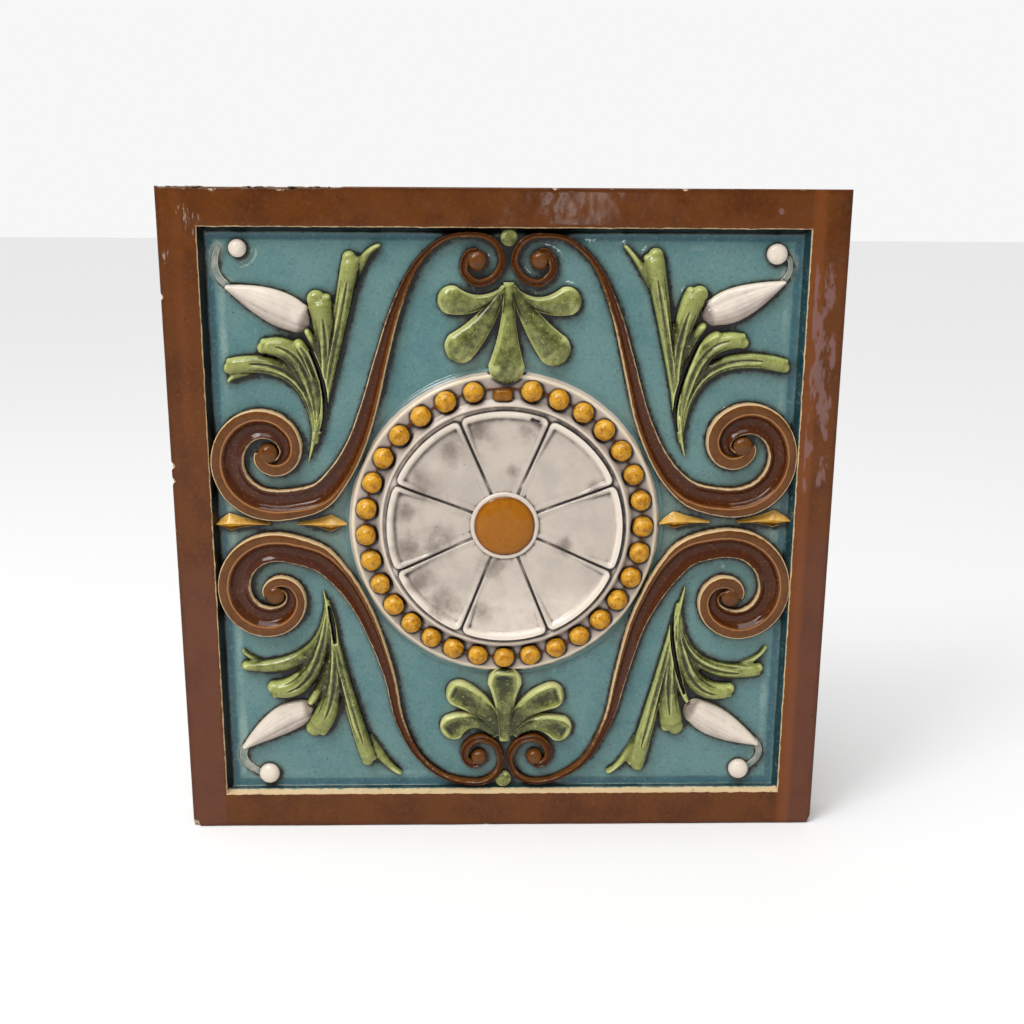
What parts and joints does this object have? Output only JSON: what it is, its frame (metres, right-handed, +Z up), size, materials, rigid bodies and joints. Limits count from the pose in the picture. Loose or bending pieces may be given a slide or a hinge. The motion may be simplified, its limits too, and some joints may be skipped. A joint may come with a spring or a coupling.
{
  "type": "art nouveau relief tile",
  "caption": "Square glazed relief tile: raised border, beaded petalled rosette, and corner scrolls, leaves and palmettes on a sunk ground.",
  "frame": {"origin": "centre of the tile's flat back, on the land between the middle key grooves", "axes": "+Z up the tile as it hangs, the carved front faces -Y, +X to the right as seen from the front"},
  "size_m": [0.3, 0.0246, 0.3],
  "materials": {
    "brown_glaze": "glossy brown lead glaze over the border and scrolls, breaking to cream on every arris",
    "teal_glaze": "glossy teal glaze pooled on the sunk ground, greyer towards the edges, grimy in the crevices",
    "green_glaze": "glossy olive green glaze on leaves and palmettes, pale on the ridges and dark in the valleys",
    "white_glaze": "glossy warm grey-white glaze on the petals, buds and dots, with soot in the hollows",
    "ochre_glaze": "glossy ochre glaze on the beads, button and darts",
    "bare_clay": "rough unglazed buff clay on the back and sides, with old mortar"
  },
  "bodies": {
    "root": {"relief_tile": "brown_glaze"}
  },
  "joints": []
}
